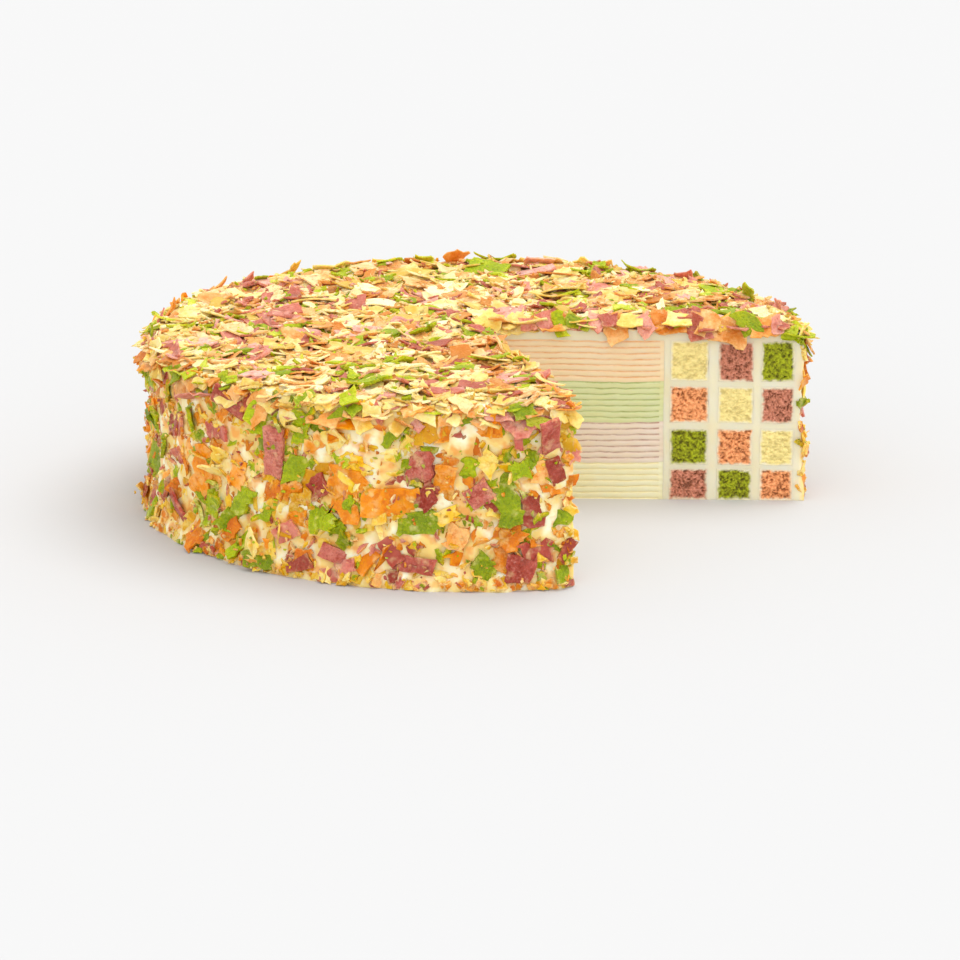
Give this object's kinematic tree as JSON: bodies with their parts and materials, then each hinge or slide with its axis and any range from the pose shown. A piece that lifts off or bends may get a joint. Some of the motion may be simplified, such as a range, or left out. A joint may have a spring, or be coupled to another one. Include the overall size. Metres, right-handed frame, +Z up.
{
  "type": "crepe cake",
  "caption": "Round layered crepe cake with a wedge cut out, showing tinted crepe bands and a checker ring of sponge squares, under cream and coloured flakes.",
  "frame": {"origin": "on the cake's axis, at the level of the surface that it stands on", "axes": "+Z up, -Y to the front, +X to the right as seen from the front; the cut opens to the front right"},
  "size_m": [0.23, 0.2304, 0.065],
  "materials": {
    "cream": "soft whipped cream, slightly satin",
    "crepe_peach": "thin soft pancake, matt",
    "crepe_green": "thin soft pancake, matt",
    "crepe_mauve": "thin soft pancake, matt",
    "crepe_yellow": "thin soft pancake, matt",
    "filling_peach": "tinted cream filling, slightly satin",
    "filling_green": "tinted cream filling, slightly satin",
    "filling_mauve": "tinted cream filling, slightly satin",
    "filling_yellow": "tinted cream filling, slightly satin",
    "sponge_yellow": "porous sponge crumb, matt",
    "sponge_mauve": "porous sponge crumb, matt",
    "sponge_green": "porous sponge crumb, matt",
    "sponge_orange": "porous sponge crumb, matt",
    "flake_yellow": "dry brittle flake, satin",
    "flake_orange": "dry brittle flake, satin",
    "flake_green": "dry brittle flake, satin",
    "flake_mauve": "dry brittle flake, satin"
  },
  "bodies": {
    "root": {"cream": "cream", "crepe_peach_1": "crepe_peach", "crepe_peach_2": "crepe_peach", "crepe_peach_3": "crepe_peach", "crepe_peach_4": "crepe_peach", "crepe_peach_5": "crepe_peach", "crepe_peach_6": "crepe_peach", "crepe_peach_7": "crepe_peach", "crepe_green_1": "crepe_green", "crepe_green_2": "crepe_green", "crepe_green_3": "crepe_green", "crepe_green_4": "crepe_green", "crepe_green_5": "crepe_green", "crepe_green_6": "crepe_green", "crepe_green_7": "crepe_green", "crepe_mauve_1": "crepe_mauve", "crepe_mauve_2": "crepe_mauve", "crepe_mauve_3": "crepe_mauve", "crepe_mauve_4": "crepe_mauve", "crepe_mauve_5": "crepe_mauve", "crepe_mauve_6": "crepe_mauve", "crepe_mauve_7": "crepe_mauve", "crepe_yellow_1": "crepe_yellow", "crepe_yellow_2": "crepe_yellow", "crepe_yellow_3": "crepe_yellow", "crepe_yellow_4": "crepe_yellow", "crepe_yellow_5": "crepe_yellow", "crepe_yellow_6": "crepe_yellow", "crepe_yellow_7": "crepe_yellow", "filling_peach": "filling_peach", "filling_green": "filling_green", "filling_mauve": "filling_mauve", "filling_yellow": "filling_yellow", "sponge_r1c1": "sponge_yellow", "sponge_r1c2": "sponge_mauve", "sponge_r1c3": "sponge_green", "sponge_r2c1": "sponge_orange", "sponge_r2c2": "sponge_yellow", "sponge_r2c3": "sponge_mauve", "sponge_r3c1": "sponge_green", "sponge_r3c2": "sponge_orange", "sponge_r3c3": "sponge_yellow", "sponge_r4c1": "sponge_mauve", "sponge_r4c2": "sponge_green", "sponge_r4c3": "sponge_orange"}
  },
  "joints": []
}
